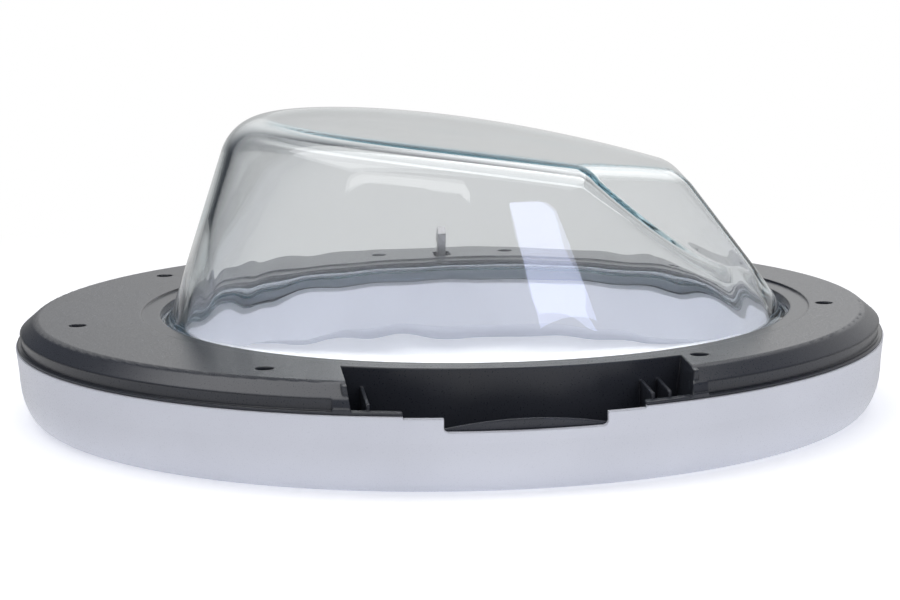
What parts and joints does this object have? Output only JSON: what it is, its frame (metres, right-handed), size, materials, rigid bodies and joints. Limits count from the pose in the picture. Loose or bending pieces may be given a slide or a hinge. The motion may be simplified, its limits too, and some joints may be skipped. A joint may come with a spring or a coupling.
{
  "type": "washing machine door",
  "caption": "Round front-loader washing machine door: white outer frame, grey inner frame with an empty hinge recess, clear glass bowl with a slanted end, sprung latch hook and pull handle.",
  "frame": {"origin": "axis of the round outer frame, on the plane of the front face that the door lies on", "axes": "+Z from the front face into the drum, -Y the hinge side, +Y the latch side, +X the top of the hung door"},
  "size_m": [0.47, 0.4692, 0.1582],
  "materials": {
    "white_plastic": "satin moulded",
    "grey_plastic": "fine grain",
    "clear_glass": "pressed, clear",
    "zinc_steel": "zinc plated",
    "black_plastic": "moulded",
    "hook_steel": "tumbled",
    "spring_steel": "drawn wire",
    "screw_steel": "dark zinc"
  },
  "bodies": {
    "door": {"outer_frame": "white_plastic", "inner_frame": "grey_plastic", "glass_bowl": "clear_glass", "hinge_plate": "zinc_steel", "latch_carrier": "black_plastic", "hook_pin": "zinc_steel", "hook_spring": "spring_steel", "handle_pin": "zinc_steel", "handle_spring": "spring_steel", "frame_screws": "screw_steel", "latch_screws": "screw_steel"},
    "hook": {"latch_hook": "hook_steel"},
    "handle": {"door_handle": "white_plastic"}
  },
  "joints": [
    {"name": "handle_pull", "type": "hinge", "parent": "door", "child": "handle", "pos_m": [0.014, 0.212, 0.006], "axis": [-1, 0, 0], "range_deg": [0, 15], "stiffness_Nm_per_rad": 0.6, "springref_deg": -11.46},
    {"name": "hook_swing", "type": "hinge", "parent": "door", "child": "hook", "pos_m": [0.014, 0.19, 0.017], "axis": [1, 0, 0], "range_deg": [0, 10.5], "stiffness_Nm_per_rad": 0.4, "springref_deg": -11.46}
  ],
  "couplings": [
    {"joint": "hook_swing", "follows": "handle_pull", "ratio": 0.68}
  ]
}
